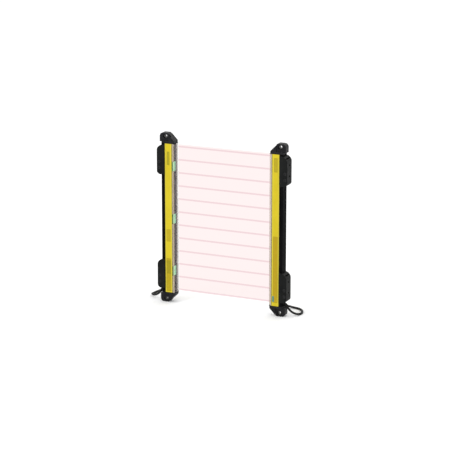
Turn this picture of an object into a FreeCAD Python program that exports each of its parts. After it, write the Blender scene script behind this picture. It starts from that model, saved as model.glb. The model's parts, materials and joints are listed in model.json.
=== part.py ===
# A safety light curtain: two upright bars that face each other across a detection field.
# Millimetres, +Z up, +Y away from the viewer, the receiver on the left at -X.
# The origin is the centre of the four fixing holes in the end lugs.
import FreeCAD, Part
import math
import os
from FreeCAD import Vector

# Driving dimensions of the field
beam_count = 12
beam_pitch = 30.0
end_margin = 7.0
field_width = 230.0

# Section of a bar, depth measured back from the window's face
bar_width = 22.0
bar_depth = 32.0
window_depth = 5.6
window_front = 2.2
window_corner = 2.0
seal_height = 0.4
seal_inset = 0.2
rail_thickness = 7.9
wall = 1.6
back_wall = 1.8
clearance = 0.2

# Window legs that snap into the housing
leg_depth = 9.0
leg_wall = 1.0
hook_size = 0.25
hook_length = 0.8
hook_play = 0.05
leg_root = 0.8

# Screw channels for the caps
channel_depth = 11.8
channel_inset = 3.8
channel_wall = 2.3
channel_hole = 1.25

# Circuit board and its slots
board_depth = 15.0
board_thickness = 1.6
board_play = 0.1
slot_rib_height = 1.2
slot_rib_width = 1.2

# Rail behind the housing
groove_width = 2.4
groove_depth = 3.0
dovetail_neck = 3.0
dovetail_tip = 4.4
dovetail_depth = 3.8
rail_corner = 1.5
rail_edge = 0.4
rail_play = 0.1
score_offset = 4.2
score_width = 1.4
score_depth = 0.8
chamber_near = 5.8
chamber_far = 9.0
chamber_wall = 1.8
chamber_height = 2.6

# End caps
gasket_thickness = 1.0
gasket_inset = 0.3
cap_base = 4.0
cap_front = 1.0
lug_height = 22.5
lug_nose = 1.4
nose_height = 5.5
lug_flat = 17.0
lug_overhang = 5.2
lug_back_gap = 2.5
lug_corner = 8.0
nose_round = 1.2
crest_round = 2.5
under_round = 0.8
nose_back = 15.0
lug_inset = 2.5
nose_inset = 0.6
cap_corner = 1.6
lug_edge = 0.8
lug_hole_depth = 23.5
lug_hole_height = 15.0
lug_hole = 3.3
counterbore = 5.4
counterbore_depth = 4.0
bush_radius = 4.5
spigot_length = 2.6
spigot_gap = 4.8

# Cap screws
screw_clear = 1.6
screw_thread = 1.2
screw_head = 2.5
screw_head_height = 2.4
screw_length = 9.0
pocket_radius = 2.8
hex_socket = 1.2
hex_depth = 1.4

# Optics
plate_depth = 3.4
plate_thickness = 1.6
plate_half = 8.0
carrier_half = 4.6
carrier_back = 13.0
lens_radius = 4.2
lens_edge = 1.4
lens_dome = 1.1
lens_seat = 6.4
lens_play = 0.1
cone_front = 3.7
cone_back = 2.1
relief_length = 12.0
relief_wall = 1.2
diode_radius = 1.7
diode_tip = 1.1
diode_body = 1.0
diode_height = 2.6

# Indicators
bar_length = 21.0
bar_places = (-4, 0, 4)
bar_leg = 1.1
bar_side = 6.6
bar_reach = 8.4
bar_edge = 0.4
light_depth = 10.3
light_width = 4.6
light_length = 14.0
light_rise = 16.0
light_sunk = 0.9

# Board parts
chip_height = 1.2
chip_size = 6.0
chip_chamfer = 0.25
chip_places = (-100.0, -40.0, 40.0, 100.0)
processor_size = 12.0
processor_height = 1.4
mark_radius = 0.6
mark_depth = 0.3
mark_inset = 1.6
socket_length = 10.0
socket_width = 9.0
socket_depth = 4.4
socket_gap = 14.0

# Brackets behind the rail
bracket_height = 67.0
upper_bracket_gap = 3.3
lower_bracket_gap = 0.8
bracket_depth = 10.5
bracket_top_corner = 14.0
bracket_low_corner = 9.0
jaw_thickness = 2.0
jaw_play = 0.15
jaw_inset = 2.4
jaw_lip = 0.3
jaw_bite = 2.6
jaw_edge = 0.6
bracket_edge = 1.0
clamp_screw_drop = 4.6
clamp_screw_pitch = 14.2
clamp_screw_gap = 5.2
clamp_head_sunk = 0.3
clamp_socket = 1.6
clamp_socket_depth = 1.8
clamp_tip = 1.0
clamp_head = 3.5
clamp_head_height = 3.0
clamp_shank = 1.95
clamp_hole = 2.1
clamp_counterbore = 3.7
fixing_pitch = 25.0
fixing_radius = 2.5
fixing_depth = 8.0
core_wall = 2.4
core_top = 4.0

# Lead, its boot and its plug
cable_diameter = 4.8
boot_rise = 5.0
boot_flange = 4.4
boot_flange_thickness = 1.6
boot_bend = 5.0
boot_angle = 55.0
boot_thick = 3.9
boot_thin = 3.2
boot_straight = 4.5
lead_start = 6.5
tangent_share = 0.45
boot_neck = 3.0
boot_block = 2.4
core_radius = 0.55
core_play = 0.02
core_grip = 4.0
core_short = 0.4
core_spacing = 1.5
plug_radius = 5.0
plug_root = 0.9
plug_shoulder = 1.4
plug_step = 1.5
plug_rim = 1.0
plug_chamfer = 0.8
flute_count = 12
flute_radius = 0.8
flute_start = 5.0
flute_end = 3.0
plug_length = 20.0
plug_tail = 6.0
plug_thread = 3.95
plug_thread_length = 8.0
plug_insert_radius = 3.0
plug_insert_thickness = 1.4
plug_insert_play = 0.1
plug_floor = 1.0
pin_short = 2.4
pin_radius = 0.45
pin_circle = 1.8

half_bar = (beam_count - 1) * beam_pitch / 2 + end_margin
half_body = half_bar - gasket_thickness
half_width = bar_width / 2
housing_back = bar_depth - rail_thickness
channel_offset = half_width - channel_inset
inner_half = half_width - wall
leg_outer = inner_half - clearance
leg_inner = leg_outer - leg_wall
housing_front = window_depth + seal_height
board_back = board_depth + board_thickness
spigot_front = board_back + board_play + slot_rib_width + 2 * clearance
cavity_back = housing_back - back_wall
lug_back = bar_depth + lug_overhang
lug_half = half_width - lug_inset
light_height = light_rise - half_body
boot_height = boot_rise - half_bar
jaw_split = half_width - jaw_inset
clamp_screw_depth = bar_depth + clamp_screw_gap
upper_bracket_centre = half_body - upper_bracket_gap - bracket_height / 2
lower_bracket_centre = boot_height + boot_flange + lower_bracket_gap + bracket_height / 2
floor_height = -(half_bar + lug_height)
beam_heights = [(k - (beam_count - 1) / 2) * beam_pitch for k in range(beam_count)]

# Routes of the two leads: distance behind the bar's back, Y and Z, each ending at its plug
boot_turn = math.radians(boot_angle)
boot_ahead = Vector(math.cos(boot_turn), 0, -math.sin(boot_turn))
boot_start = Vector(bar_depth + boot_flange_thickness, 0, boot_height)
elbow_end = boot_start + Vector(math.sin(boot_turn), 0, math.cos(boot_turn) - 1) * boot_bend
cable_exit = elbow_end + boot_ahead * boot_straight
lie = floor_height + cable_diameter / 2
plug_rise = plug_radius - cable_diameter / 2
emitter_route = [
    (19.3, 4.1, lie + 6.6), (25.8, 12.0, lie + 1.8), (30.0, 22.5, lie), (29.9, 35.9, lie),
    (21.0, 52.2, lie), (9.1, 59.8, lie), (-5.0, 60.7, lie + 0.8),
    (-15.8, 60.7, lie + plug_rise), (-25.5, 63.0, lie + plug_rise),
]
receiver_route = [
    (21.2, 1.8, lie + 7.8), (31.3, 6.7, lie + 5.0), (38.9, 15.2, lie + 4.2),
    (43.7, 26.5, lie + 0.9), (44.3, 42.2, lie), (40.5, 59.2, lie), (40.4, 71.2, lie),
    (41.2, 81.7, lie + 0.8), (44.6, 94.9, lie + plug_rise), (50.0, 105.0, lie + plug_rise),
]


def outline(corners, lift, up, normal_of):
    """A closed wire through corners (a, b, radius), each rounded by a tangent arc."""
    count = len(corners)
    flat = [Vector(a, b, 0) for a, b, _ in corners]
    edges = []
    ends = []
    for k, (_, _, radius) in enumerate(corners):
        here = flat[k]
        back = flat[k - 1] - here
        on = flat[(k + 1) % count] - here
        back.normalize()
        on.normalize()
        if radius == 0:
            ends.append((here, here, None))
            continue
        half = math.acos(max(-1, min(1, back.dot(on)))) / 2
        along = radius / math.tan(half)
        middle = back + on
        middle.normalize()
        bulge = here + middle * (radius / math.sin(half) - radius)
        ends.append((here + back * along, here + on * along, bulge))
    for k, (start, end, bulge) in enumerate(ends):
        if bulge is not None:
            edges.append(Part.Arc(*(normal_of(p, lift) for p in (start, bulge, end))).toShape())
        follow = ends[(k + 1) % count][0]
        if end.distanceToPoint(follow) > 1e-6:
            edges.append(Part.LineSegment(normal_of(end, lift), normal_of(follow, lift)).toShape())
    return Part.Face(Part.Wire(edges)).extrude(up)


def section(corners, low, high):
    """A bar section drawn in depth and Y, extruded in Z."""
    return outline(corners, low, Vector(0, 0, high - low), lambda p, z: Vector(p.x, p.y, z))


def side(corners, near, far):
    """A side view drawn in depth and Z, extruded in Y."""
    return outline(corners, near, Vector(0, far - near, 0), lambda p, y: Vector(p.x, y, p.y))


def square(corners):
    return [(a, b, 0) for a, b in corners]


def block(front, back, near, far, low, high):
    size = (back - front, far - near, high - low)
    return Part.makeBox(*size, Vector(front, near, low))


def rod(radius, length, at, along):
    return Part.makeCylinder(radius, length, Vector(*at), Vector(*along))


def turned(profile, at):
    """A solid of revolution about the beam axis through at; profile is (depth, radius)."""
    points = [Vector(a, 0, r) for a, r in profile]
    face = Part.Face(Part.makePolygon(points + points[:1]))
    solid = face.revolve(Vector(0, 0, 0), Vector(1, 0, 0), 360)
    return solid.translated(at)


def hex_hole(radius, depth, at, along):
    """A hexagon socket that goes in from a screw's head."""
    turn = FreeCAD.Rotation(Vector(0, 0, 1), Vector(*along))
    rim = [
        Vector(radius * math.cos(k * math.pi / 3), radius * math.sin(k * math.pi / 3), 0)
        for k in range(6)
    ]
    solid = Part.Face(Part.makePolygon(rim + rim[:1])).extrude(Vector(0, 0, depth))
    solid.Placement = FreeCAD.Placement(Vector(*at), turn)
    return solid


def housing(with_light):
    """The yellow extrusion: a channel with screw channels, board slots and a dovetail behind."""
    body = block(housing_front, housing_back, -half_width, half_width, -half_body, half_body)
    body = body.cut(
        block(housing_front, cavity_back, -inner_half, inner_half, -half_body, half_body)
    )
    adds = []
    cuts = []
    slot = board_thickness + 2 * board_play
    slot_front = board_depth - board_play
    for turn in (-1, 1):
        near, far = sorted((turn * (inner_half - slot_rib_height), turn * inner_half))
        for front in (slot_front - slot_rib_width, slot_front + slot):
            back = front + slot_rib_width
            adds.append(block(front, back, near, far, -half_body, half_body))
        at = (channel_depth, turn * channel_offset, -half_body)
        adds.append(rod(channel_wall, 2 * half_body, at, (0, 0, 1)))
        cuts.append(rod(channel_hole, 2 * half_body, at, (0, 0, 1)))
        groove_near, groove_far = sorted((turn * inner_half, turn * (inner_half + hook_size)))
        cuts.append(
            block(leg_depth - hook_length - clearance, leg_depth + clearance, groove_near,
                  groove_far, -half_body, half_body)
        )
    tail = housing_back + dovetail_depth
    adds.append(
        section(
            square([
                (cavity_back, -dovetail_neck), (housing_back, -dovetail_neck),
                (tail, -dovetail_tip), (tail, dovetail_tip),
                (housing_back, dovetail_neck), (cavity_back, dovetail_neck),
            ]),
            -half_body, half_body,
        )
    )
    body = body.fuse(adds).removeSplitter()
    cuts.append(lead_hole())
    if with_light:
        cuts.append(light_shape(0))
    return body.cut(cuts)


def lead_hole():
    """The hole for the boot's neck, through the rail and the housing's back wall."""
    length = bar_depth - cavity_back + 2 * clearance
    at = (cavity_back - clearance, 0, boot_height)
    return rod(boot_neck + clearance / 2, length, at, (1, 0, 0))


def light_shape(play):
    """The lens of the emitter's indicator, with round ends, let into the near side wall."""
    end = light_width / 2 - play
    middle = light_length / 2 - light_width / 2
    length = light_sunk - play
    parts = [
        block(light_depth - end, light_depth + end, -half_width, -half_width + length,
              light_height - middle, light_height + middle)
    ]
    for turn in (-1, 1):
        at = (light_depth, -half_width, light_height + turn * middle)
        parts.append(rod(end, length, at, (0, 1, 0)))
    return parts[0].fuse(parts[1:]).removeSplitter()


def mounting_rail():
    """The black extrusion behind the housing, hung on its dovetail."""
    front = housing_back
    step = front + groove_width
    narrow = half_width - groove_depth
    outer = [
        (front, -narrow, 0), (step, -narrow, 0), (step, -half_width, rail_edge),
        (bar_depth, -half_width, rail_corner), (bar_depth, half_width, rail_corner),
        (step, half_width, rail_edge), (step, narrow, 0), (front, narrow, 0),
    ]
    rail = section(outer, -half_body, half_body)
    neck = dovetail_neck + rail_play
    tip = dovetail_tip + rail_play
    tail = front + dovetail_depth + rail_play
    cuts = [
        section(square([(front, -neck), (tail, -tip), (tail, tip), (front, neck)]),
                -half_body, half_body),
        lead_hole(),
    ]
    for turn in (-1, 1):
        near, far = sorted((turn * chamber_near, turn * chamber_far))
        back = bar_depth - chamber_wall
        cuts.append(block(back - chamber_height, back, near, far, -half_body, half_body))
        near = turn * score_offset - score_width / 2
        cuts.append(
            block(bar_depth - score_depth, bar_depth, near, near + score_width,
                  -half_body, half_body)
        )
    return rail.cut(cuts)


def window():
    """The clear cover: round front corners, and two legs that snap into the housing."""
    hook = leg_outer + clearance + hook_size - hook_play
    barb = leg_depth - hook_length
    outer = [
        (0, -half_width, window_corner), (window_depth, -half_width, 0),
        (window_depth, -leg_outer, 0), (barb, -leg_outer, 0), (barb, -hook, 0),
        (leg_depth, -leg_outer, 0), (leg_depth, -leg_inner, 0),
        (window_front, -leg_inner, leg_root),
    ]
    mirror = [(a, -b, r) for a, b, r in reversed(outer)]
    return section(outer + mirror, -half_body, half_body)


def window_seals():
    strips = []
    for turn in (-1, 1):
        near, far = sorted((turn * (inner_half + seal_inset), turn * (half_width - seal_inset)))
        strips.append(block(window_depth, housing_front, near, far, -half_body, half_body))
    return Part.makeCompound(strips)


def optic_carrier(with_bars):
    """A front plate with round apertures and a row of tapered tubes behind it."""
    end = half_body - clearance
    low = plate_depth + plate_thickness
    body = block(plate_depth, low, -plate_half, plate_half, -end, end)
    body = body.fuse(block(low, carrier_back, -carrier_half, carrier_half, -end, end))
    body = body.removeSplitter()
    cuts = []
    for z in beam_heights:
        cuts.append(
            turned([(plate_depth, 0), (plate_depth, lens_radius + lens_play),
                    (lens_seat, lens_radius + lens_play), (lens_seat, cone_front),
                    (carrier_back, cone_back), (carrier_back, 0)], Vector(0, 0, z))
        )
    relief = carrier_half - relief_wall
    for z in beam_heights[:-1]:
        middle = z + beam_pitch / 2
        cuts.append(
            block(low + relief_wall, carrier_back, -relief, relief,
                  middle - relief_length / 2, middle + relief_length / 2)
        )
    if with_bars:
        for place in bar_places:
            z = place * beam_pitch
            reach = bar_length / 2 + clearance
            cuts.append(
                block(plate_depth, low, -plate_half, -plate_half + bar_leg,
                      z - reach, z + reach)
            )
    return body.cut(cuts)


def lenses():
    """One plano-convex lens in each aperture, its dome to the window."""
    tip = lens_seat - lens_edge - lens_dome
    ball = (lens_radius ** 2 + lens_dome ** 2) / (2 * lens_dome)
    barrel = rod(lens_radius, lens_seat - tip, (tip, 0, 0), (1, 0, 0))
    dome = Part.makeSphere(ball, Vector(tip + ball, 0, 0), Vector(0, 1, 0))
    lens = barrel.common(dome)
    return Part.makeCompound([lens.translated(Vector(0, 0, z)) for z in beam_heights])


def diodes():
    body = board_depth - diode_body
    front = board_depth - diode_height
    profile = [
        (board_depth, 0), (board_depth, diode_radius), (body, diode_radius), (front, diode_tip),
        (front, 0),
    ]
    return Part.makeCompound([turned(profile, Vector(0, 0, z)) for z in beam_heights])


def indicator_bars():
    """Light guides in the window's near corner: a leg on the plate and a leg along the side."""
    front = plate_depth - bar_leg
    near = -plate_half
    corners = [
        (front, near, bar_edge), (bar_side, near, 0), (bar_side, near + bar_leg - clearance, 0),
        (plate_depth, near + bar_leg - clearance, 0), (plate_depth, near + bar_reach, 0),
        (front, near + bar_reach, 0),
    ]
    bar = section(corners, -bar_length / 2, bar_length / 2)
    return Part.makeCompound(
        [bar.translated(Vector(0, 0, place * beam_pitch)) for place in bar_places]
    )


def circuit_board():
    side_play = inner_half - clearance
    end = half_body - clearance
    return block(board_depth, board_back, -side_play, side_play, -end, end)


def processor():
    half = processor_size / 2
    top = board_back + processor_height
    body = block(board_back, top, -half, half, -half, half)
    body = body.makeChamfer(chip_chamfer, [e for e in body.Edges if on_plane(e, top)])
    corner = half - mark_inset
    return body.cut(rod(mark_radius, mark_depth, (top - mark_depth, corner, corner), (1, 0, 0)))


def on_plane(edge, depth):
    return all(abs(v.X - depth) < 1e-6 for v in edge.Vertexes)


def driver_chips():
    half = chip_size / 2
    top = board_back + chip_height
    chips = []
    for z in chip_places:
        chip = block(board_back, top, -half, half, z - half, z + half)
        chips.append(chip.makeChamfer(chip_chamfer, [e for e in chip.Edges if on_plane(e, top)]))
    return Part.makeCompound(chips)


def board_socket():
    """The socket that the lead's cores plug into, open towards the boot."""
    low = boot_height + socket_gap
    body = block(board_back, board_back + socket_depth, -socket_width / 2, socket_width / 2,
                 low, low + socket_length)
    return body.cut([
        rod(core_radius + core_play, core_grip, (core_depth(), y, low), (0, 0, 1))
        for y in core_places()
    ])


def core_depth():
    return board_back + socket_depth / 2


def core_places():
    return [(k - 2) * core_spacing for k in range(5)]


def core_wires():
    low = boot_height + boot_neck
    length = socket_gap - boot_neck + core_grip - core_short
    return Part.makeCompound([
        rod(core_radius, length, (core_depth(), y, low), (0, 0, 1)) for y in core_places()
    ])


def gasket():
    inset = gasket_inset
    ring = block(inset, bar_depth - inset, -half_width + inset, half_width - inset,
                 half_body, half_bar)
    cuts = [
        rod(screw_clear, gasket_thickness, (channel_depth, turn * channel_offset, half_body),
            (0, 0, 1))
        for turn in (-1, 1)
    ]
    return ring.cut(cuts + spigot(clearance, half_body))


def spigot(play, low):
    """The two tongues of a cap, which fit between the board and the housing's back wall."""
    tongues = []
    for turn in (-1, 1):
        inner = turn * (spigot_gap - play)
        near, far = sorted((inner, turn * (inner_half - 2 * clearance + play)))
        tongues.append(
            block(spigot_front - play, cavity_back - clearance + play, near, far, low, half_bar)
        )
    return tongues


def end_cap():
    """A base plate, two tongues, and a lug with a sloped nose, a round back and a fixing hole."""
    top = half_bar + lug_height
    base = section(
        [(cap_front, -half_width, cap_corner), (bar_depth, -half_width, rail_corner),
         (bar_depth, half_width, rail_corner), (cap_front, half_width, cap_corner)],
        half_bar, half_bar + cap_base,
    )
    lug = side(
        [
            (lug_nose, half_bar, 0), (lug_nose, half_bar + nose_height, nose_round),
            (lug_flat, top, crest_round), (lug_back, top, lug_corner),
            (lug_back, half_bar + lug_back_gap, under_round),
            (bar_depth, half_bar + lug_back_gap, 0), (bar_depth, half_bar, 0),
        ],
        -lug_half, lug_half,
    )
    rims = [
        e for e in lug.Edges
        if abs(abs(e.BoundBox.YMin) - lug_half) < 1e-3 and e.BoundBox.YLength < 1e-3
        and e.BoundBox.ZMin > half_bar + 0.1
    ]
    lug = lug.makeChamfer(lug_edge, rims)
    nose = side(
        square([(lug_nose, half_bar), (lug_nose, half_bar + nose_height),
                (nose_back, half_bar + nose_height + nose_back - lug_nose),
                (nose_back, half_bar)]),
        -half_width + nose_inset, half_width - nose_inset,
    )
    body = base.fuse([lug, nose] + spigot(0, half_body - spigot_length))
    body = body.removeSplitter()
    hole_at = half_bar + lug_hole_height
    cuts = [rod(bush_radius, 2 * lug_half, (lug_hole_depth, -lug_half, hole_at), (0, 1, 0))]
    for turn in (-1, 1):
        at = (lug_hole_depth, turn * lug_half, hole_at)
        cuts.append(rod(counterbore, counterbore_depth, at, (0, -turn, 0)))
    for turn in (-1, 1):
        at = (channel_depth, turn * channel_offset)
        seat = half_bar + cap_base
        cuts.append(rod(screw_clear, cap_base, (*at, half_bar), (0, 0, 1)))
        cuts.append(rod(pocket_radius, lug_height, (*at, seat), (0, 0, 1)))
    return body.cut(cuts)


def lug_bush():
    """A metal bush between the two counterbores of a lug."""
    half = lug_half - counterbore_depth
    at = (lug_hole_depth, -half, half_bar + lug_hole_height)
    return rod(bush_radius, 2 * half, at, (0, 1, 0)).cut(rod(lug_hole, 2 * half, at, (0, 1, 0)))


def cap_screws():
    screws = []
    seat = half_bar + cap_base
    for turn in (-1, 1):
        at = (channel_depth, turn * channel_offset)
        screw = rod(screw_head, screw_head_height, (*at, seat), (0, 0, 1))
        screw = screw.fuse(rod(screw_thread, screw_length, (*at, seat), (0, 0, -1)))
        top = seat + screw_head_height
        socket = hex_hole(hex_socket, hex_depth, (*at, top), (0, 0, -1))
        screws.append(screw.removeSplitter().cut(socket))
    return screws


def bracket_parts(centre):
    """The bracket with its near jaw, its separate far jaw, and the two screws between them."""
    back = bar_depth + bracket_depth
    inside = bar_depth + clearance
    reach = half_width + jaw_play
    face = reach + jaw_thickness
    hook = half_width - jaw_bite
    front = housing_back + jaw_lip
    tooth = housing_back + groove_width - jaw_lip
    low = centre - bracket_height / 2
    high = centre + bracket_height / 2
    shape = [
        (front, -face, jaw_edge), (back, -face, bracket_edge), (back, jaw_split, 0),
        (inside, jaw_split, 0),
        (inside, -reach, 0), (tooth, -reach, 0), (tooth, -hook, 0), (front, -hook, 0),
    ]
    body = section(shape, low, high)
    jaw = section(
        [(inside, jaw_split, 0), (back, jaw_split, 0), (back, face, bracket_edge),
         (front, face, jaw_edge), (front, hook, 0), (tooth, hook, 0), (tooth, reach, 0), (inside, reach, 0)],
        low, high,
    )
    frame = side(
        [(front - 1, low, 0), (back, low, bracket_low_corner), (back, high, bracket_top_corner),
         (front - 1, high, 0)],
        -face - 1, face + 1,
    )
    body = body.common(frame)
    jaw = jaw.common(frame)
    screw_heights = [centre - clamp_screw_drop - k * clamp_screw_pitch for k in range(2)]
    middle = centre - clamp_screw_drop - clamp_screw_pitch / 2
    body_cuts = []
    screws = []
    seat = clamp_head_height + clamp_head_sunk - face
    tip = face - clamp_tip
    for z in screw_heights:
        at = (clamp_screw_depth, -face, z)
        body_cuts.append(rod(clamp_counterbore, face + seat, at, (0, 1, 0)))
        body_cuts.append(rod(clamp_hole, 2 * face, at, (0, 1, 0)))
        under = (clamp_screw_depth, seat, z)
        top = (clamp_screw_depth, seat - clamp_head_height, z)
        head = rod(clamp_head, clamp_head_height, under, (0, -1, 0))
        shank = rod(clamp_shank, tip - seat, under, (0, 1, 0))
        socket = hex_hole(clamp_socket, clamp_socket_depth, top, (0, 1, 0))
        screws.append(head.fuse(shank).removeSplitter().cut(socket))
    for k in range(2):
        z = middle + k * fixing_pitch
        body_cuts.append(rod(fixing_radius, fixing_depth, (back, 0, z), (-1, 0, 0)))
    pocket_low = middle + fixing_pitch + fixing_radius + core_wall
    pocket_high = high - core_top
    body_cuts.append(
        block(inside + core_wall, back - core_wall, -face + core_wall, jaw_split,
              pocket_low, pocket_high)
    )
    body_cuts.append(
        block(inside + core_wall, back - core_wall, 0, jaw_split,
              middle + fixing_radius + clamp_screw_pitch / 2 + core_wall,
              middle + fixing_pitch - fixing_radius - core_wall)
    )
    thread = [rod(clamp_shank, 2 * face, (clamp_screw_depth, -face, z), (0, 1, 0))
              for z in screw_heights]
    return body.cut(body_cuts), jaw.cut(thread), screws


def strain_relief():
    """The boot: an inner block, a neck through the wall, a flange, and a tapered elbow."""
    block_front = cavity_back - boot_block
    length = bar_depth - block_front
    parts = [
        block(block_front, cavity_back, -4.4, 4.4, boot_height - 1.2, boot_height + 4.0),
        rod(boot_neck, length, (block_front, 0, boot_height), (1, 0, 0)),
        rod(boot_flange, boot_flange_thickness, (bar_depth, 0, boot_height), (1, 0, 0)),
    ]
    rings = []
    steps = 4
    for k in range(steps + 1):
        angle = boot_turn * k / steps
        at = boot_start + Vector(math.sin(angle), 0, math.cos(angle) - 1) * boot_bend
        radius = boot_thick + (boot_thin - boot_thick) * k / (steps + 1)
        rings.append(ring(at, Vector(math.cos(angle), 0, -math.sin(angle)), radius))
    rings.append(ring(cable_exit, boot_ahead, boot_thin))
    elbow = Part.makeLoft(rings, True, False)
    boot = parts[0].fuse(parts[1:] + [elbow]).removeSplitter()
    bore = rod(cable_diameter / 2, boot_straight, tuple(cable_exit), tuple(-boot_ahead))
    return boot.cut(bore)


def ring(at, axis, radius):
    return Part.Wire(Part.makeCircle(radius, at, axis))


def lead_points(route):
    """The lead starts inside the boot and then follows its route."""
    first = [elbow_end, cable_exit + boot_ahead * lead_start]
    return first + [Vector(bar_depth + a, y, z) for a, y, z in route]


def cable(route, name):
    """A round tube: straight runs joined by tangent arcs."""
    points = lead_points(route)
    edges = []
    at = points[0]
    radii = []
    for before, here, after in zip(points, points[1:], points[2:]):
        back = before - here
        on = after - here
        short = min(back.Length, on.Length)
        back.normalize()
        on.normalize()
        half = math.acos(max(-1, min(1, back.dot(on)))) / 2
        along = tangent_share * short
        radius = along * math.tan(half)
        start = here + back * along
        end = here + on * along
        middle = back + on
        middle.normalize()
        bulge = here + middle * (radius / math.sin(half) - radius)
        edges.append(Part.LineSegment(at, start).toShape())
        edges.append(Part.Arc(start, bulge, end).toShape())
        at = end
        radii.append(radius)
    edges.append(Part.LineSegment(at, points[-1]).toShape())
    path = Part.Wire(edges)
    length = path.Length
    profile = ring(points[0], points[1] - points[0], cable_diameter / 2)
    tube = path.makePipeShell([profile], True, False)
    expected = math.pi * cable_diameter ** 2 / 4 * length
    print(name, "lead", round(length, 1), "mm, radii", [round(r, 1) for r in radii],
          "volume ratio", round(tube.Volume / expected, 4))
    return tube


def plug(route):
    """The round plug: a tapered body with grip flutes, an insert and five pins."""
    points = lead_points(route)
    heading = points[-1] - points[-2]
    r = cable_diameter / 2
    far = plug_tail + plug_length
    tip = far + plug_thread_length
    floor = far + plug_floor
    profile = [
        (0, 0), (0, r + plug_root), (plug_tail, plug_radius - plug_shoulder),
        (plug_tail + plug_step, plug_radius), (far - plug_rim, plug_radius),
        (far, plug_radius - plug_chamfer), (far, plug_thread), (tip, plug_thread),
        (tip, plug_insert_radius), (floor, plug_insert_radius), (floor, 0),
    ]
    body = turned(profile, Vector(0, 0, 0))
    flutes = []
    for k in range(flute_count):
        angle = 2 * math.pi * k / flute_count
        at = (plug_tail + flute_start, plug_radius * math.cos(angle), plug_radius * math.sin(angle))
        flutes.append(rod(flute_radius, plug_length - flute_start - flute_end, at, (1, 0, 0)))
    body = body.cut(flutes)
    insert = rod(plug_insert_radius - plug_insert_play, plug_insert_thickness, (floor, 0, 0),
                 (1, 0, 0))
    pins = []
    holes = []
    spots = [(0, 0)]
    spots += [
        (pin_circle * math.cos(a), pin_circle * math.sin(a))
        for a in (math.pi / 4 + k * math.pi / 2 for k in range(4))
    ]
    for y, z in spots:
        pins.append(rod(pin_radius, plug_thread_length - pin_short, (floor, y, z), (1, 0, 0)))
        holes.append(rod(pin_radius, plug_insert_thickness, (floor, y, z), (1, 0, 0)))
    insert = insert.cut(holes)
    placement = FreeCAD.Placement(points[-1], FreeCAD.Rotation(Vector(1, 0, 0), heading))
    made = []
    for piece in (body, insert, Part.makeCompound(pins)):
        piece = piece.copy()
        piece.Placement = placement.multiply(piece.Placement)
        made.append(piece)
    return made


def flipped(shape):
    """The same piece at the other end of a bar."""
    return shape.mirror(Vector(0, 0, 0), Vector(0, 0, 1))


def bar(name, is_emitter, route):
    """Every piece of one bar, its window's face at depth 0."""
    cap = end_cap()
    bush = lug_bush()
    screws = cap_screws()
    upper, upper_jaw, upper_screws = bracket_parts(upper_bracket_centre)
    lower, lower_jaw, lower_screws = bracket_parts(lower_bracket_centre)
    body, insert, pins = plug(route)
    pieces = {
        "housing": housing(is_emitter),
        "mounting_rail": mounting_rail(),
        "window": window(),
        "window_seals": window_seals(),
        "optic_carrier": optic_carrier(not is_emitter),
        "lenses": lenses(),
        "infrared_diodes" if is_emitter else "photodiodes": diodes(),
        "circuit_board": circuit_board(),
        "processor": processor(),
        "driver_chips": driver_chips(),
        "board_socket": board_socket(),
        "core_wires": core_wires(),
        "top_gasket": gasket(),
        "bottom_gasket": flipped(gasket()),
        "top_cap": cap,
        "bottom_cap": flipped(cap),
        "lug_bushes": Part.makeCompound([bush, flipped(bush)]),
        "cap_screws": Part.makeCompound(screws + [flipped(s) for s in screws]),
        "upper_bracket": upper,
        "upper_clamp_jaw": upper_jaw,
        "lower_bracket": lower,
        "lower_clamp_jaw": lower_jaw,
        "clamp_screws": Part.makeCompound(upper_screws + lower_screws),
        "strain_relief": strain_relief(),
        "cable": cable(route, name),
        "plug_body": body,
        "plug_insert": insert,
        "plug_pins": pins,
    }
    if is_emitter:
        pieces["indicator_light"] = light_shape(0)
    else:
        pieces["indicator_bars"] = indicator_bars()
    for piece, shape in pieces.items():
        placed = shape.translated(Vector(field_width / 2, 0, 0))
        if not is_emitter:
            placed = placed.mirror(Vector(0, 0, 0), Vector(1, 0, 0))
        if not placed.isValid():
            print("not valid:", name, piece)
        placed.exportStep("parts/" + name + "_" + piece + ".step")


os.makedirs("parts", exist_ok=True)
bar("receiver", False, receiver_route)
bar("emitter", True, emitter_route)
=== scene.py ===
"""The looks of a safety light curtain: its finishes, leads, drawn beams, camera and light."""

import json
import math

import bmesh
import bpy
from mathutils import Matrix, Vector


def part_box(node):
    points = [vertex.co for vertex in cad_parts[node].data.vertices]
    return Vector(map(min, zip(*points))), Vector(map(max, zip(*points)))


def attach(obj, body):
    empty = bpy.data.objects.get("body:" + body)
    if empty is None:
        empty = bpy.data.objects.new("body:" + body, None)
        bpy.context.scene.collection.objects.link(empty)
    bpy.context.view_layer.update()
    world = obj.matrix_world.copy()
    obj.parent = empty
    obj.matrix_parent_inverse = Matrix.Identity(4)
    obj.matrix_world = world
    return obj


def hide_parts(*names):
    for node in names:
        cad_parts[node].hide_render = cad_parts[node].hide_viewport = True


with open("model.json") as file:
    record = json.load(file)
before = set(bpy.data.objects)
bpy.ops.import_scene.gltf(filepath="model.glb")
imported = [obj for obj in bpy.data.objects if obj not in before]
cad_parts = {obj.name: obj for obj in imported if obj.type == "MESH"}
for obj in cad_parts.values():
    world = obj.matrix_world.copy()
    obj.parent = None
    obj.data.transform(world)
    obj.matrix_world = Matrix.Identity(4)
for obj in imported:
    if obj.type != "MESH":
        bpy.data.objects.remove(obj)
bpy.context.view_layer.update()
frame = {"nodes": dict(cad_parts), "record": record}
node = frame["nodes"]
scene = bpy.context.scene
MM = 0.001

RECEIVER_SIDE = -1
EMITTER_SIDE = 1

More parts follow.
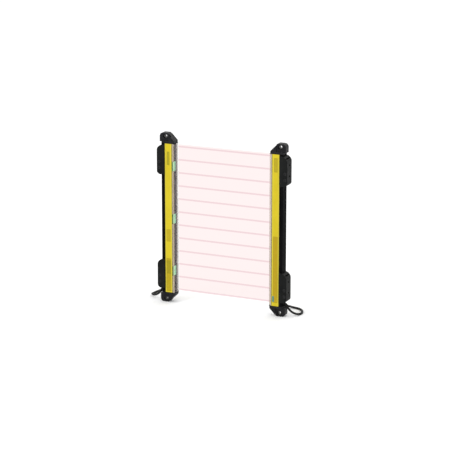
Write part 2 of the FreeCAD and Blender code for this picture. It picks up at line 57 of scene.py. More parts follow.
# Camera: the photograph's direction, in degrees, and its scale at the origin
AZIMUTH = 24.82
ELEVATION = 14.44
DISTANCE = 4.5
PIXELS = 450
PIXELS_PER_M = 452.0
ORIGIN_PIXEL = (223.43, 223.67)
SENSOR = 36.0
NEAREST_SEEN = 0.1
FURTHEST_SEEN = 60

# The protected field between the windows and how its beams are drawn, in metres
FIELD_WIDTH = 0.230
BEAM_PITCH = 0.030
BEAM_COUNT = 12
BEAM_HALF = 0.0019
FIELD_Y = 0.0105
FIELD_DROP = 0.0028
VEIL_GAP = 0.0005

# The receiver's three light guides, in metres
GUIDE_PITCH = 0.120
EDGE_SOFTNESS = 0.001

# Where a lead leaves its boot, from the part's own dimensions
CABLE_DIAMETER = 0.0048
BOOT_START = Vector((33.6, 0.0, -167.0)) * MM
BOOT_BEND = 5.0 * MM
BOOT_ANGLE = math.radians(55)
BOOT_STRAIGHT = 4.5 * MM
LEAD_START = 6.5 * MM

# The routes' own measures, in millimetres as the routes are
BAR_DEPTH = 32.0
LIE = -192.1
PLUG_LIE = -189.5

# The studio
FLOOR = -194.5 * MM
FLOOR_REACH = 12
STUDIO_STRENGTH = 1.1


def put_camera():
    """The camera looks along the photograph's direction, with the origin at its own pixel."""
    turn = math.radians(AZIMUTH)
    tilt = math.radians(ELEVATION)
    level = math.cos(tilt)
    back = Vector((math.sin(turn) * level, -math.cos(turn) * level, math.sin(tilt)))
    data = bpy.data.cameras.new("camera")
    camera = bpy.data.objects.new("camera", data)
    scene.collection.objects.link(camera)
    data.sensor_width = SENSOR
    data.lens = PIXELS_PER_M * DISTANCE / PIXELS * SENSOR
    camera.location = back * DISTANCE
    camera.rotation_euler = back.to_track_quat("Z", "Y").to_euler()
    half = PIXELS / 2
    data.shift_x = (half - ORIGIN_PIXEL[0]) / PIXELS
    data.shift_y = (ORIGIN_PIXEL[1] - half) / PIXELS
    data.clip_start = NEAREST_SEEN
    data.clip_end = FURTHEST_SEEN
    scene.camera = camera


# Leads


def lead_points(side, route):
    """The route in metres, from inside the boot to the plug."""
    ahead = Vector((math.cos(BOOT_ANGLE), 0, -math.sin(BOOT_ANGLE)))
    elbow = Vector((math.sin(BOOT_ANGLE), 0, math.cos(BOOT_ANGLE) - 1)) * BOOT_BEND
    inside = BOOT_START + elbow
    points = [inside, inside + ahead * (BOOT_STRAIGHT + LEAD_START)]
    points += [Vector((BAR_DEPTH + a, y, z)) * MM for a, y, z in route]
    return [Vector((side * (FIELD_WIDTH / 2 + p.x), p.y, p.z)) for p in points]


def lead(name, side, route):
    """The round jacket along its route, and the route's points."""
    points = lead_points(side, route)
    data = bpy.data.curves.new(name, "CURVE")
    data.dimensions = "3D"
    line = data.splines.new("NURBS")
    line.points.add(len(points) - 1)
    for knot, p in zip(line.points, points):
        knot.co = (*p, 1)
    line.order_u = 3
    line.use_endpoint_u = True
    line.resolution_u = 12
    data.bevel_depth = CABLE_DIAMETER / 2
    data.bevel_resolution = 6
    data.use_fill_caps = True
    piece = bpy.data.objects.new(name, data)
    scene.collection.objects.link(piece)
    return piece, points


EMITTER_ROUTE = [
    (19.3, 4.1, LIE + 6.6), (25.8, 12.0, LIE + 1.8), (30.0, 22.5, LIE), (29.9, 35.9, LIE),
    (21.0, 52.2, LIE), (9.1, 59.8, LIE), (-5.0, 60.7, LIE + 0.8),
    (-15.8, 60.7, PLUG_LIE), (-25.5, 63.0, PLUG_LIE),
]
RECEIVER_ROUTE = [
    (21.2, 1.8, LIE + 7.8), (31.3, 6.7, LIE + 5.0), (38.9, 15.2, LIE + 4.2),
    (43.7, 26.5, LIE + 0.9), (44.3, 42.2, LIE), (40.5, 59.2, LIE), (40.4, 71.2, LIE),
    (41.2, 81.7, LIE + 0.8), (44.6, 94.9, PLUG_LIE), (50.0, 105.0, PLUG_LIE),
]

# The mix node's sockets by their places, since several share a name
MIX_FACTOR = 0
MIX_FIRST_VALUE = 2
MIX_SECOND_VALUE = 3
MIX_FIRST_COLOUR = 6
MIX_SECOND_COLOUR = 7
MIX_COLOUR_RESULT = 2

# Shared effects, each a node group that gives out a mask, a height or a normal


def start_group(name, inputs, outputs):
    """A new node group with its named inputs and outputs."""
    group = bpy.data.node_groups.new(name, "ShaderNodeTree")
    for label, kind, value in inputs:
        socket = group.interface.new_socket(label, in_out="INPUT", socket_type=kind)
        socket.default_value = value
    for label, kind in outputs:
        group.interface.new_socket(label, in_out="OUTPUT", socket_type=kind)
    return group, group.nodes.new("NodeGroupInput"), group.nodes.new("NodeGroupOutput")


def add(tree, kind, **values):
    """A node of one kind, with its properties set."""
    made = tree.nodes.new(kind)
    for key, value in values.items():
        setattr(made, key, value)
    return made


def wire(tree, source, target):
    tree.links.new(source, target)


def ramp(tree, source, low, high):
    """Maps a factor so that low gives 0 and high gives 1, clamped."""
    made = add(tree, "ShaderNodeMapRange", clamp=True)
    made.inputs["From Min"].default_value = low
    made.inputs["From Max"].default_value = high
    wire(tree, source, made.inputs["Value"])
    return made.outputs["Result"]


def math_node(tree, operation, first, second):
    """One sum on two values, each a number or a socket."""
    made = add(tree, "ShaderNodeMath", operation=operation)
    for socket, value in zip(made.inputs, (first, second)):
        if isinstance(value, (int, float)):
            socket.default_value = value
        else:
            wire(tree, value, socket)
    return made.outputs[0]


def split_xyz(tree, vector):
    made = add(tree, "ShaderNodeSeparateXYZ")
    wire(tree, vector, made.inputs[0])
    return made


def mix_colour(tree, factor, first, second):
    """The first colour where the factor is 0, and the second where it is 1."""
    made = add(tree, "ShaderNodeMix", data_type="RGBA")
    sockets = [made.inputs[k] for k in (MIX_FACTOR, MIX_FIRST_COLOUR, MIX_SECOND_COLOUR)]
    for socket, value in zip(sockets, (factor, first, second)):
        if isinstance(value, (int, float)):
            socket.default_value = value
        elif isinstance(value, (tuple, list)):
            socket.default_value = (*value, 1) if len(value) == 3 else value
        else:
            wire(tree, value, socket)
    return made.outputs[MIX_COLOUR_RESULT]


def noise(tree, vector, scale, detail=3.0, roughness=0.55):
    """Soft noise on the given coordinates."""
    made = add(tree, "ShaderNodeTexNoise")
    made.inputs["Scale"].default_value = scale
    made.inputs["Detail"].default_value = detail
    made.inputs["Roughness"].default_value = roughness
    wire(tree, vector, made.inputs["Vector"])
    return made


def make_drift():
    """A slow drift of tone over a surface, as a mask around a half."""
    group, inside, out = start_group(
        "tone_drift", [("Scale", "NodeSocketFloat", 40.0)], [("Drift", "NodeSocketFloat")]
    )
    place = add(group, "ShaderNodeTexCoord")
    slow = noise(group, place.outputs["Object"], 40)
    wire(group, inside.outputs["Scale"], slow.inputs["Scale"])
    wire(group, ramp(group, slow.outputs["Fac"], 0.3, 0.7), out.inputs["Drift"])
    return group


def make_edge_wear():
    """Worn edges: where a rounded normal leaves the true one, broken up by noise."""
    group, inside, out = start_group(
        "edge_wear",
        [("Radius", "NodeSocketFloat", 0.0006), ("Amount", "NodeSocketFloat", 0.5)],
        [("Mask", "NodeSocketFloat")],
    )
    place = add(group, "ShaderNodeTexCoord")
    geometry = add(group, "ShaderNodeNewGeometry")
    bevel = add(group, "ShaderNodeBevel", samples=4)
    wire(group, inside.outputs["Radius"], bevel.inputs["Radius"])
    dot = add(group, "ShaderNodeVectorMath", operation="DOT_PRODUCT")
    wire(group, bevel.outputs["Normal"], dot.inputs[0])
    wire(group, geometry.outputs["Normal"], dot.inputs[1])
    edge = ramp(group, dot.outputs["Value"], 0.995, 0.86)
    patch = ramp(group, noise(group, place.outputs["Object"], 260, 4).outputs["Fac"], 0.42, 0.62)
    worn = math_node(group, "MULTIPLY", edge, patch)
    wire(group, math_node(group, "MULTIPLY", worn, inside.outputs["Amount"]), out.inputs["Mask"])
    return group


def make_rounded_edge():
    """A small radius on every edge, for the light to run along."""
    group, inside, out = start_group(
        "rounded_edge", [("Radius", "NodeSocketFloat", 0.0003)], [("Normal", "NodeSocketVector")]
    )
    bevel = add(group, "ShaderNodeBevel", samples=4)
    wire(group, inside.outputs["Radius"], bevel.inputs["Radius"])
    wire(group, bevel.outputs["Normal"], out.inputs["Normal"])
    return group


def make_dust():
    """A thin film of dust that lies on what faces up, in soft patches."""
    group, inside, out = start_group(
        "dust", [("Amount", "NodeSocketFloat", 0.3)], [("Mask", "NodeSocketFloat")]
    )
    place = add(group, "ShaderNodeTexCoord")
    normal = split_xyz(group, add(group, "ShaderNodeNewGeometry").outputs["Normal"])
    up = ramp(group, normal.outputs["Z"], 0.2, 1.0)
    patch = ramp(group, noise(group, place.outputs["Object"], 120, 5).outputs["Fac"], 0.3, 0.75)
    lying = math_node(group, "MULTIPLY", up, patch)
    wire(group, math_node(group, "MULTIPLY", lying, inside.outputs["Amount"]), out.inputs["Mask"])
    return group


def along_bar(group, across, along):
    """Object coordinates scaled so that a noise on them runs in lines along the bar."""
    place = split_xyz(group, add(group, "ShaderNodeTexCoord").outputs["Object"])
    stretched = add(group, "ShaderNodeCombineXYZ")
    for axis, pace in (("X", across), ("Y", across), ("Z", along)):
        wire(group, math_node(group, "MULTIPLY", place.outputs[axis], pace), stretched.inputs[axis])
    return stretched.outputs[0]


def make_scratches():
    """Sparse fine scratches along the bars."""
    group, inside, out = start_group(
        "scratches",
        [("Amount", "NodeSocketFloat", 0.3), ("Across", "NodeSocketFloat", 900.0),
         ("Along", "NodeSocketFloat", 14.0)],
        [("Mask", "NodeSocketFloat")],
    )
    lines = along_bar(group, inside.outputs["Across"], inside.outputs["Along"])
    thin = ramp(group, noise(group, lines, 1.0, 2).outputs["Fac"], 0.66, 0.74)
    wire(group, math_node(group, "MULTIPLY", thin, inside.outputs["Amount"]), out.inputs["Mask"])
    return group


def make_die_lines():
    """The faint straight lines that an extrusion die leaves along a profile."""
    group, inside, out = start_group(
        "die_lines",
        [("Across", "NodeSocketFloat", 2600.0), ("Along", "NodeSocketFloat", 3.0)],
        [("Height", "NodeSocketFloat")],
    )
    lines = along_bar(group, inside.outputs["Across"], inside.outputs["Along"])
    wire(group, ramp(group, noise(group, lines, 1.0, 3).outputs["Fac"], 0.3, 0.7),
         out.inputs["Height"])
    return group


def make_fine_grain():
    """A fine even grain: powder coat, spark-eroded mould faces, or cast metal, by its scale."""
    group, inside, out = start_group(
        "fine_grain", [("Scale", "NodeSocketFloat", 1500.0)], [("Height", "NodeSocketFloat")]
    )
    place = add(group, "ShaderNodeTexCoord")
    fine = noise(group, place.outputs["Object"], 1500, 2)
    wire(group, inside.outputs["Scale"], fine.inputs["Scale"])
    wire(group, ramp(group, fine.outputs["Fac"], 0.3, 0.7), out.inputs["Height"])
    return group


def make_handling():
    """Smudges from hands, smoother than the surface round them."""
    group, inside, out = start_group(
        "handling", [("Amount", "NodeSocketFloat", 0.3)], [("Mask", "NodeSocketFloat")]
    )
    place = add(group, "ShaderNodeTexCoord")
    smear = noise(group, place.outputs["Object"], 75, 5, 0.7)
    smear.inputs["Distortion"].default_value = 1.2
    mask = ramp(group, smear.outputs["Fac"], 0.5, 0.72)
    wire(group, math_node(group, "MULTIPLY", mask, inside.outputs["Amount"]), out.inputs["Mask"])
    return group


def make_print_field():
    """A plain outlined field on a yellow side: one mask for its fill and one for its line."""
    group, inside, out = start_group(
        "print_field",
        [("Middle X", "NodeSocketFloat", 0.13), ("Middle Z", "NodeSocketFloat", 0.0),
         ("Half X", "NodeSocketFloat", 0.004), ("Half Z", "NodeSocketFloat", 0.02),
         ("Line", "NodeSocketFloat", 0.0005)],
        [("Fill", "NodeSocketFloat"), ("Outline", "NodeSocketFloat")],
    )
    place = split_xyz(group, add(group, "ShaderNodeTexCoord").outputs["Object"])
    normal = split_xyz(group, add(group, "ShaderNodeNewGeometry").outputs["Normal"])
    inward = []
    for value, middle, half in ((place.outputs["X"], "Middle X", "Half X"),
                                (place.outputs["Z"], "Middle Z", "Half Z")):
        off = math_node(group, "ABSOLUTE",
                        math_node(group, "SUBTRACT", value, inside.outputs[middle]), 0)
        inward.append(math_node(group, "SUBTRACT", inside.outputs[half], off))
    depth = math_node(group, "MINIMUM", *inward)
    facing = math_node(group, "LESS_THAN", normal.outputs["Y"], -0.9)
    whole = math_node(group, "MULTIPLY", math_node(group, "GREATER_THAN", depth, 0.0), facing)
    inner = math_node(group, "MULTIPLY",
                      math_node(group, "GREATER_THAN", depth, inside.outputs["Line"]), facing)
    wire(group, inner, out.inputs["Fill"])
    wire(group, math_node(group, "SUBTRACT", whole, inner), out.inputs["Outline"])
    return group


DRIFT = make_drift()
EDGE_WEAR = make_edge_wear()
ROUNDED_EDGE = make_rounded_edge()
DUST = make_dust()
SCRATCHES = make_scratches()
DIE_LINES = make_die_lines()
FINE_GRAIN = make_fine_grain()
HANDLING = make_handling()
PRINT_FIELD = make_print_field()


def use(tree, group, **inputs):
    """A group placed in a material, with its own values; Half_X stands for the input Half X."""
    made = add(tree, "ShaderNodeGroup", node_tree=group)
    for key, value in inputs.items():
        made.inputs[key.replace("_", " ")].default_value = value
    return made


class Surface:
    """One finish, put together layer by layer: colour and roughness first, then relief."""

    def __init__(self, name, light, dark, roughness, spread=0.08, patch=40.0):
        self.material = bpy.data.materials.new(name)
        self.material.use_nodes = True
        self.tree = self.material.node_tree
        self.shader = self.tree.nodes["Principled BSDF"]
        drift = use(self.tree, DRIFT, Scale=patch).outputs["Drift"]
        self.base = mix_colour(self.tree, drift, light, dark)
        self.rough = math_node(self.tree, "ADD", math_node(self.tree, "MULTIPLY", drift, spread),
                               roughness - spread / 2)
        self.bare = None
        self.normal = None

    def laid_over(self, mask, colour, rougher=0.0):
        """A colour where the mask is one, with its change of roughness."""
        self.base = mix_colour(self.tree, mask, self.base, colour)
        if rougher:
            more = math_node(self.tree, "MULTIPLY", mask, rougher)
            self.rough = math_node(self.tree, "ADD", self.rough, more)
        return self

    def worn(self, bare, amount, radius=0.0006, metal=False):
        mask = use(self.tree, EDGE_WEAR, Amount=amount, Radius=radius).outputs["Mask"]
        if metal:
            self.bare = mask
        return self.laid_over(mask, bare, -0.1)

    def scratched(self, bare, amount, across=900.0):
        mask = use(self.tree, SCRATCHES, Amount=amount, Across=across).outputs["Mask"]
        return self.laid_over(mask, bare, 0.25)

    def handled(self, colour, amount):
        return self.laid_over(use(self.tree, HANDLING, Amount=amount).outputs["Mask"], colour, -0.3)

    def dusty(self, amount):
        return self.laid_over(use(self.tree, DUST, Amount=amount).outputs["Mask"],
                              (0.42, 0.4, 0.37), 0.4)

    def rounded(self, radius=0.0003):
        self.normal = use(self.tree, ROUNDED_EDGE, Radius=radius).outputs["Normal"]
        return self

    def relief(self, group, depth, strength=1.0, **values):
        """A bump from a group's height, over the relief that is there already."""
        bump = add(self.tree, "ShaderNodeBump")
        bump.inputs["Strength"].default_value = strength
        bump.inputs["Distance"].default_value = depth
        wire(self.tree, use(self.tree, group, **values).outputs["Height"], bump.inputs["Height"])
        if self.normal is not None:
            wire(self.tree, self.normal, bump.inputs["Normal"])
        self.normal = bump.outputs["Normal"]
        return self

    def done(self, metallic=0.0, specular=0.5, ior=1.5, coat=0.0):
        """Joins the layers to the shader and gives the material."""
        wire(self.tree, self.base, self.shader.inputs["Base Color"])
        wire(self.tree, self.rough, self.shader.inputs["Roughness"])
        if self.bare is None:
            self.shader.inputs["Metallic"].default_value = metallic
        else:
            wire(self.tree, math_node(self.tree, "MAXIMUM", self.bare, metallic),
                 self.shader.inputs["Metallic"])
        self.shader.inputs["Specular IOR Level"].default_value = specular
        self.shader.inputs["IOR"].default_value = ior
        self.shader.inputs["Coat Weight"].default_value = coat
        if self.normal is not None:
            wire(self.tree, self.normal, self.shader.inputs["Normal"])
        return self.material


# Plain fields on the front sides: bar, height of the middle, half width, half height, fill, line
PLAIN_FIELDS = (
    (EMITTER_SIDE, 0.147, 0.0038, 0.0155, (0.42, 0.33, 0.01), (0.16, 0.12, 0.01)),
    (RECEIVER_SIDE, 0.138, 0.003, 0.015, (0.36, 0.31, 0.01), (0.14, 0.12, 0.01)),
    (EMITTER_SIDE, -0.088, 0.0056, 0.075, (0.42, 0.29, 0.005), (0.24, 0.17, 0.008)),
    (RECEIVER_SIDE, -0.0384, 0.005, 0.014, (0.45, 0.34, 0.006), (0.3, 0.22, 0.008)),
    (RECEIVER_SIDE, -0.13, 0.0056, 0.038, (0.42, 0.31, 0.005), (0.22, 0.16, 0.008)),
    (RECEIVER_SIDE, -0.112, 0.0046, 0.015, (0.31, 0.25, 0.004), (0.27, 0.2, 0.006)),
)


def yellow_paint():
    """Powder-coated extrusion: a painted highlight along its edges, painted shade in the seams at
    the rail and the window, and plain fields on its front side.
    """
    window_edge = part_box("emitter_housing")[0][0]
    rail_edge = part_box("emitter_mounting_rail")[0][0]
    middle = (window_edge + rail_edge) / 2
    half = (rail_edge - window_edge) / 2
    paint = Surface("yellow_paint", (0.62, 0.495, 0.014), (0.56, 0.44, 0.011), 0.42, patch=26.0)
    tree = paint.tree
    place = split_xyz(tree, add(tree, "ShaderNodeTexCoord").outputs["Object"])
    across = math_node(tree, "ABSOLUTE", place.outputs["X"], 0)
    off = math_node(tree, "ABSOLUTE", math_node(tree, "SUBTRACT", across, middle), 0)
    # Painted highlight: the yellow side is lighter towards both its edges, as if they caught the
    # light.
    rim = math_node(tree, "MULTIPLY", ramp(tree, off, half * 0.55, half * 0.9), 0.75)
    paint.laid_over(rim, (0.64, 0.58, 0.06))
    for side, height, half_width, half_height, fill, line in PLAIN_FIELDS:
        field = use(tree, PRINT_FIELD, Middle_X=side * middle, Middle_Z=height, Half_X=half_width,
                    Half_Z=half_height)
        paint.laid_over(field.outputs["Fill"], fill, -0.06)
        paint.laid_over(field.outputs["Outline"], line, -0.06)
    # Painted shade: a thin near-black band along the seams beside the rail and the window.
    at_rail = ramp(tree, across, rail_edge - 0.0014, rail_edge - 0.001)
    at_window = ramp(tree, across, window_edge + 0.0009, window_edge + 0.0006)
    painted_seam_shade = math_node(tree, "MAXIMUM", at_rail, at_window)
    paint.laid_over(painted_seam_shade, (0.035, 0.028, 0.006), 0.2)
    paint.worn((0.5, 0.45, 0.3), 0.35, metal=True).scratched((0.5, 0.42, 0.15), 0.12)
    paint.handled((0.56, 0.41, 0.012), 0.35).dusty(0.06)
    paint.rounded(0.0004).relief(DIE_LINES, 0.00002).relief(FINE_GRAIN, 0.00004, Scale=750.0)
    return paint.done(specular=0.25, ior=1.4)


def black_anodised():
    """The rail: matt black anodised extrusion with its die lines."""
    rail = Surface("black_anodised", (0.003, 0.003, 0.0032), (0.0055, 0.0055, 0.0058), 0.5)
    rail.worn((0.03, 0.03, 0.032), 0.25, metal=True).scratched((0.025, 0.025, 0.027), 0.15)
    rail.handled((0.008, 0.008, 0.0085), 0.3).dusty(0.02)
    rail.rounded(0.0003).relief(DIE_LINES, 0.00004, Across=2200.0)
    rail.relief(FINE_GRAIN, 0.00001, Scale=3000.0)
    return rail.done(specular=0.2, ior=1.1)


def moulded_black():
    """The end caps: fine spark-eroded glass-filled nylon, polished a little at its edges."""
    cap = Surface("moulded_black", (0.008, 0.008, 0.0092), (0.016, 0.016, 0.0185), 0.46, patch=90.0)
    cap.worn((0.085, 0.085, 0.09), 0.55).handled((0.03, 0.03, 0.032), 0.4).dusty(0.1)
    cap.rounded(0.0005).relief(FINE_GRAIN, 0.00006, Scale=1500.0)
    return cap.done(specular=0.35, ior=1.22)


def bracket_coat():
    """The brackets: die-cast metal under a coarse black powder coat."""
    coat = Surface("bracket_coat", (0.007, 0.0075, 0.0075), (0.012, 0.013, 0.0125), 0.5)
    coat.worn((0.07, 0.07, 0.07), 0.5, metal=True).scratched((0.06, 0.06, 0.06), 0.12)
    coat.handled((0.018, 0.018, 0.018), 0.35).dusty(0.04)
    coat.rounded(0.0006).relief(FINE_GRAIN, 0.0001, Scale=850.0)
    return coat.done(specular=0.3, ior=1.17)


def black_rubber():
    """Gaskets, window seals and strain reliefs: soft, matt, a little bloomed."""
    rubber = Surface("black_rubber", (0.008, 0.008, 0.008), (0.016, 0.016, 0.015), 0.78, patch=150.0)
    rubber.handled((0.02, 0.02, 0.02), 0.3).dusty(0.1)
    rubber.rounded(0.0003).relief(FINE_GRAIN, 0.00004, Scale=1300.0)
    return rubber.done(specular=0.3, ior=1.25)


def lead_jacket():
    """The leads: smooth extruded jacket with a faint wave and dust along its top."""
    jacket = Surface("lead_jacket", (0.009, 0.009, 0.009), (0.015, 0.015, 0.015), 0.5, patch=120.0)
    jacket.handled((0.026, 0.026, 0.026), 0.35).dusty(0.07)
    jacket.relief(FINE_GRAIN, 0.00005, Scale=420.0).relief(FINE_GRAIN, 0.00001, Scale=2600.0)
    return jacket.done(specular=0.25, ior=1.22)


def plug_moulding():
    """The plugs: overmoulded black with finger flutes rubbed shiny."""
    plug = Surface("plug_moulding", (0.014, 0.014, 0.015), (0.023, 0.023, 0.024), 0.48, patch=90.0)
    plug.worn((0.06, 0.06, 0.062), 0.4).handled((0.03, 0.03, 0.03), 0.4).dusty(0.08)
    plug.rounded(0.0003).relief(FINE_GRAIN, 0.00004, Scale=1700.0)
    return plug.done(specular=0.35, ior=1.3)


def bush_steel():
    """Zinc-plated bushes, dulled; their dark tone is painted shade inside the holes, and their
    brighter rims are partly rubbed metal and partly a painted glint.
    """
    # Painted shade: the dark tone of the bush stands for the shade inside its hole.
    bush = Surface("bush_steel", (0.075, 0.072, 0.068), (0.035, 0.034, 0.033), 0.42, patch=300.0)
    # Painted glint: the lighter rims, on top of the wear they show.
    bush.worn((0.42, 0.42, 0.43), 0.6).rounded(0.0002).relief(FINE_GRAIN, 0.00001, Scale=2400.0)
    return bush.done(metallic=1.0)


def black_oxide():
    """Socket screws: oxide-blackened steel, dark inside the drive, rubbed at its rim."""
    screw = Surface("black_oxide", (0.008, 0.008, 0.009), (0.016, 0.016, 0.017), 0.36, patch=300.0)
    screw.worn((0.2, 0.195, 0.19), 0.5, radius=0.0003, metal=True)
    screw.rounded(0.0002).relief(FINE_GRAIN, 0.00001, Scale=2600.0)
    return screw.done(metallic=0.2, specular=0.4, ior=1.35)


def plain_moulding(name, light, dark, roughness, grain=1500.0, coat=0.0, specular=0.3):
    """An inner moulding or board: its colour, a light grain and a little handling."""
    part = Surface(name, light, dark, roughness, patch=120.0)
    part.handled(tuple(min(1.0, c * 1.3) for c in light), 0.3)
    part.rounded(0.0002).relief(FINE_GRAIN, 0.00003, Scale=grain)
    return part.done(specular=specular, ior=1.4, coat=coat)


def gold_plate():
    """The plug's pins: smooth gold over nickel."""
    gold = Surface("gold_plate", (0.78, 0.55, 0.18), (0.66, 0.46, 0.15), 0.25, patch=300.0)
    gold.rounded(0.0001).relief(FINE_GRAIN, 0.000005, Scale=3000.0)
    return gold.done(metallic=1.0)


def lens_clear():
    """The lenses: clear mouldings in a dark carrier, mostly see-through with a faint haze."""
    material = bpy.data.materials.new("lens_clear")
    material.use_nodes = True
    tree = material.node_tree
    shader = tree.nodes["Principled BSDF"]
    drift = use(tree, DRIFT, Scale=60.0).outputs["Drift"]
    wire(tree, mix_colour(tree, drift, (0.3, 0.27, 0.33), (0.26, 0.23, 0.3)),
         shader.inputs["Base Color"])
    wire(tree, math_node(tree, "ADD", math_node(tree, "MULTIPLY", drift, 0.05), 0.05),
         shader.inputs["Roughness"])
    wire(tree, math_node(tree, "ADD", math_node(tree, "MULTIPLY", drift, 0.06), 0.55),
         shader.inputs["Alpha"])
    shader.inputs["IOR"].default_value = 1.5
    return material


def bar_glow(tree, place):
    """A mask beside each of the receiver's three light guides, towards the housing: where their
    painted green light lies on the window.
    """
    low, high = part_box("receiver_indicator_bars")
    half = (high[2] - GUIDE_PITCH) + EDGE_SOFTNESS
    height = place.outputs["Z"]
    masks = []
    for middle in (-GUIDE_PITCH, 0.0, GUIDE_PITCH):
        off = math_node(tree, "ABSOLUTE", math_node(tree, "SUBTRACT", height, middle), 0)
        masks.append(ramp(tree, off, half, half - EDGE_SOFTNESS))
    lit = math_node(tree, "MAXIMUM", math_node(tree, "MAXIMUM", masks[0], masks[1]), masks[2])
    across = ramp(tree, math_node(tree, "MULTIPLY", place.outputs["X"], -1.0),
                  -low[0] - 0.0036, -low[0] - 0.0026)
    return math_node(tree, "MULTIPLY", lit, across)


def window_clear():
    """The window: smoky on its face, warmer and milkier on its sides towards the housing, and with
    painted green light from the receiver's guides on those sides.
    """
    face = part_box("emitter_window")[0][0]
    smoke = (0.05, 0.034, 0.042)
    warm = (0.58, 0.49, 0.36)
    milk = (0.68, 0.61, 0.58)
    haze = (0.3, 0.26, 0.23)
    painted_guide_green = (0.03, 0.2, 0.05)
    material = bpy.data.materials.new("window_clear")
    material.use_nodes = True
    tree = material.node_tree
    shader = tree.nodes["Principled BSDF"]
    drift = use(tree, DRIFT, Scale=60.0).outputs["Drift"]
    smear = use(tree, HANDLING, Amount=0.4).outputs["Mask"]
    place = split_xyz(tree, add(tree, "ShaderNodeTexCoord").outputs["Object"])
    normal = split_xyz(tree, add(tree, "ShaderNodeNewGeometry").outputs["Normal"])
    sideways = ramp(tree, math_node(tree, "ABSOLUTE", normal.outputs["Y"], 0), 0.45, 0.9)
    depth = ramp(tree, math_node(tree, "ABSOLUTE", place.outputs["X"], 0), face, face + 0.006)
    base = mix_colour(tree, sideways, smoke, warm)
    corner = ramp(tree, place.outputs["Y"], -0.002, 0.006)
    base = mix_colour(tree, math_node(tree, "MULTIPLY", corner, 0.8), base, milk)
    base = mix_colour(tree, math_node(tree, "MULTIPLY", drift, 0.25), base, haze)
    # Painted light: dim green from the receiver's light guides, painted on the window's sides beside
    # them.
    spill = math_node(tree, "MULTIPLY", bar_glow(tree, place), sideways)
    wire(tree, mix_colour(tree, math_node(tree, "MULTIPLY", spill, 0.85), base, painted_guide_green),
         shader.inputs["Base Color"])
    milky = math_node(tree, "ADD", math_node(tree, "MULTIPLY", depth, 0.5), 0.3)
    plain = math_node(tree, "ADD", math_node(tree, "MULTIPLY", drift, 0.08), 0.42)
    alpha = add(tree, "ShaderNodeMix")
    wire(tree, sideways, alpha.inputs[MIX_FACTOR])
    wire(tree, plain, alpha.inputs[MIX_FIRST_VALUE])
    wire(tree, milky, alpha.inputs[MIX_SECOND_VALUE])
    wire(tree, alpha.outputs[0], shader.inputs["Alpha"])
    wire(tree, math_node(tree, "ADD", math_node(tree, "MULTIPLY", smear, 0.3), 0.08),
         shader.inputs["Roughness"])
    shader.inputs["IOR"].default_value = 1.5
    shader.inputs["Specular IOR Level"].default_value = 0.3
    return material


def light_guide(name, colour, rim, glow, strength):
    """A light guide that glows faintly, with painted shade making it darker where it goes into the
    housing.
    """
    low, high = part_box("receiver_indicator_bars")
    outer = -low[0]
    inner = -high[0]
    material = bpy.data.materials.new(name)
    material.use_nodes = True
    tree = material.node_tree
    shader = tree.nodes["Principled BSDF"]
    drift = use(tree, DRIFT, Scale=300.0).outputs["Drift"]
    place = split_xyz(tree, add(tree, "ShaderNodeTexCoord").outputs["Object"])
    across = math_node(tree, "ABSOLUTE", place.outputs["X"], 0)
    # Painted shade: the half towards the housing takes the shade colour given as rim and stops
    # glowing.
    back = ramp(tree, across, inner + (outer - inner) * 0.5, outer)
    tone = mix_colour(tree, drift, colour, tuple(c * 0.85 for c in colour))
    wire(tree, mix_colour(tree, back, tone, rim), shader.inputs["Base Color"])
    lit = mix_colour(tree, drift, glow, tuple(c * 0.8 for c in glow))
    wire(tree, mix_colour(tree, back, lit, (0.0, 0.0, 0.0)), shader.inputs["Emission Color"])
    shader.inputs["Emission Strength"].default_value = strength
    shader.inputs["Roughness"].default_value = 0.3
    return material


FINISHES = {
    "painted_aluminium": yellow_paint(),
    "black_aluminium": black_anodised(),
    "clear_plastic": window_clear(),
    "black_rubber": black_rubber(),
    "black_plastic": moulded_black(),
    "carrier_plastic": plain_moulding("carrier_dark", (0.03, 0.022, 0.024), (0.055, 0.043, 0.05),
                                      0.6),
    "lens_plastic": lens_clear(),
    "diode_resin": plain_moulding("diode_dark", (0.05, 0.04, 0.06), (0.09, 0.07, 0.1), 0.2,
                                  coat=0.4, specular=0.5),
    "board_laminate": plain_moulding("solder_resist", (0.01, 0.07, 0.035), (0.02, 0.1, 0.05), 0.35,
                                     grain=700.0, coat=0.3),
    "chip_resin": plain_moulding("chip_black", (0.02, 0.02, 0.021), (0.03, 0.03, 0.03), 0.55),
    "socket_nylon": plain_moulding("socket_white", (0.72, 0.7, 0.63), (0.66, 0.64, 0.57), 0.5),
    "core_vinyl": plain_moulding("core_brown", (0.3, 0.13, 0.05), (0.36, 0.18, 0.08), 0.45),
    # Each light guide's second colour is its painted shade towards the housing.
    "green_light": light_guide("green_guide", (0.5, 0.8, 0.55), (0.05, 0.22, 0.07),
                               (0.42, 1.0, 0.58), 1.4),
    "teal_light": light_guide("teal_lens", (0.06, 0.24, 0.16), (0.06, 0.2, 0.14),
                              (0.05, 0.2, 0.12), 0.1),
    "bright_steel": bush_steel(),
    "dark_steel": black_oxide(),
    "bracket_black": bracket_coat(),
    "lead_jacket": lead_jacket(),
    "plug_black": plug_moulding(),
    "gold_contact": gold_plate(),
}


def dress_cad():
    """Each CAD node gets the finish of its slot in the record."""
    for row in frame["record"]["subparts"]:
        piece = node[row["node"]]
        piece.data.materials.clear()
        piece.data.materials.append(FINISHES[row["material_slot"]])


def place_leads():
    """Both leads in place of the solids' own."""
    for side, name, route in ((RECEIVER_SIDE, "receiver", RECEIVER_ROUTE),
                              (EMITTER_SIDE, "emitter", EMITTER_ROUTE)):
        piece, points = lead(name + "_lead", side, route)
        piece.data.materials.append(FINISHES["lead_jacket"])
        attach(piece, "root")
        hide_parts(name + "_cable")


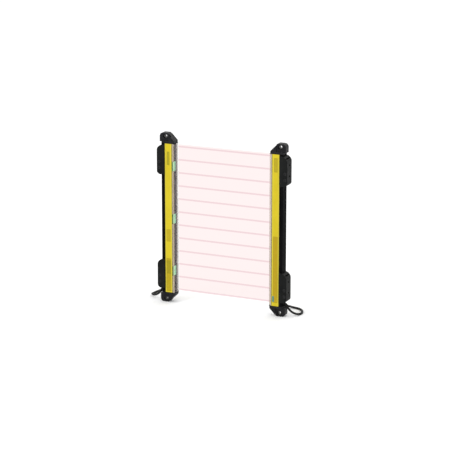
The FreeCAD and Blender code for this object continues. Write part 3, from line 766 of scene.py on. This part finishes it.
def flat_finish(name, colour, alpha, strength):
    """A drawn beam: a flat tint without shading, mostly see-through."""
    material = bpy.data.materials.new(name)
    material.use_nodes = True
    tree = material.node_tree
    tree.nodes.remove(tree.nodes["Principled BSDF"])
    clear = add(tree, "ShaderNodeBsdfTransparent")
    tint = add(tree, "ShaderNodeEmission")
    tint.inputs["Color"].default_value = (*colour, 1)
    tint.inputs["Strength"].default_value = strength
    mixed = add(tree, "ShaderNodeMixShader")
    mixed.inputs[0].default_value = alpha
    wire(tree, clear.outputs[0], mixed.inputs[1])
    wire(tree, tint.outputs[0], mixed.inputs[2])
    wire(tree, mixed.outputs[0], tree.nodes["Material Output"].inputs[0])
    return material


def sheet_between(name, low, high, y, material):
    """A flat strip from window to window, part of the drawing and not of the object."""
    half = FIELD_WIDTH / 2
    mesh = bpy.data.meshes.new(name)
    mesh.from_pydata(
        [(-half, y, low), (half, y, low), (half, y, high), (-half, y, high)], [], [(0, 1, 2, 3)]
    )
    mesh.materials.append(material)
    piece = bpy.data.objects.new(name, mesh)
    scene.collection.objects.link(piece)
    for look in ("visible_shadow", "visible_diffuse", "visible_glossy", "visible_transmission"):
        setattr(piece, look, False)


def draw_field():
    """The pale red field and its twelve thin beams."""
    veil = flat_finish("field_tint", (0.98, 0.85, 0.845), 0.85, 1.0)
    line = flat_finish("beam_tint", (0.88, 0.67, 0.7), 0.85, 1.0)
    reach = (BEAM_COUNT - 1) / 2 * BEAM_PITCH
    sheet_between("field", -reach - FIELD_DROP, reach + FIELD_DROP, FIELD_Y + VEIL_GAP, veil)
    for k in range(BEAM_COUNT):
        z = k * BEAM_PITCH - reach - FIELD_DROP
        sheet_between("beam_%02d" % k, z - BEAM_HALF, z + BEAM_HALF, FIELD_Y, line)


def lay_floor():
    """A plain pale floor under the lowest points of the caps."""
    mesh = bpy.data.meshes.new("floor")
    build = bmesh.new()
    bmesh.ops.create_grid(build, x_segments=1, y_segments=1, size=FLOOR_REACH)
    bmesh.ops.translate(build, verts=build.verts, vec=(0, 0, FLOOR))
    build.to_mesh(mesh)
    build.free()
    floor = bpy.data.objects.new("floor", mesh)
    scene.collection.objects.link(floor)
    paper = Surface("floor_white", (0.94, 0.94, 0.94), (0.95, 0.95, 0.95), 0.8)
    mesh.materials.append(paper.done(specular=0.1))


def hang_lamp(name, place, size, power):
    """A square soft lamp, in metres and watts, that faces the origin."""
    data = bpy.data.lights.new(name, "AREA")
    data.size = size
    data.energy = power
    lamp = bpy.data.objects.new(name, data)
    lamp.location = place
    lamp.rotation_euler = Vector(place).to_track_quat("Z", "Y").to_euler()
    scene.collection.objects.link(lamp)


def light_studio():
    """White surroundings and three soft lamps."""
    world = bpy.data.worlds.new("studio")
    world.use_nodes = True
    background = world.node_tree.nodes["Background"]
    background.inputs["Color"].default_value = (1, 1, 1, 1)
    background.inputs["Strength"].default_value = STUDIO_STRENGTH
    scene.world = world
    hang_lamp("key", place=(-1.6, -2.2, 2.4), size=1.6, power=24)
    hang_lamp("side", place=(2.6, -1.6, 1.4), size=1.2, power=3)
    hang_lamp("back", place=(0.6, 2.4, 2.2), size=1.5, power=9)


scene.view_settings.view_transform = "Standard"
put_camera()
place_leads()
dress_cad()
draw_field()
lay_floor()
light_studio()
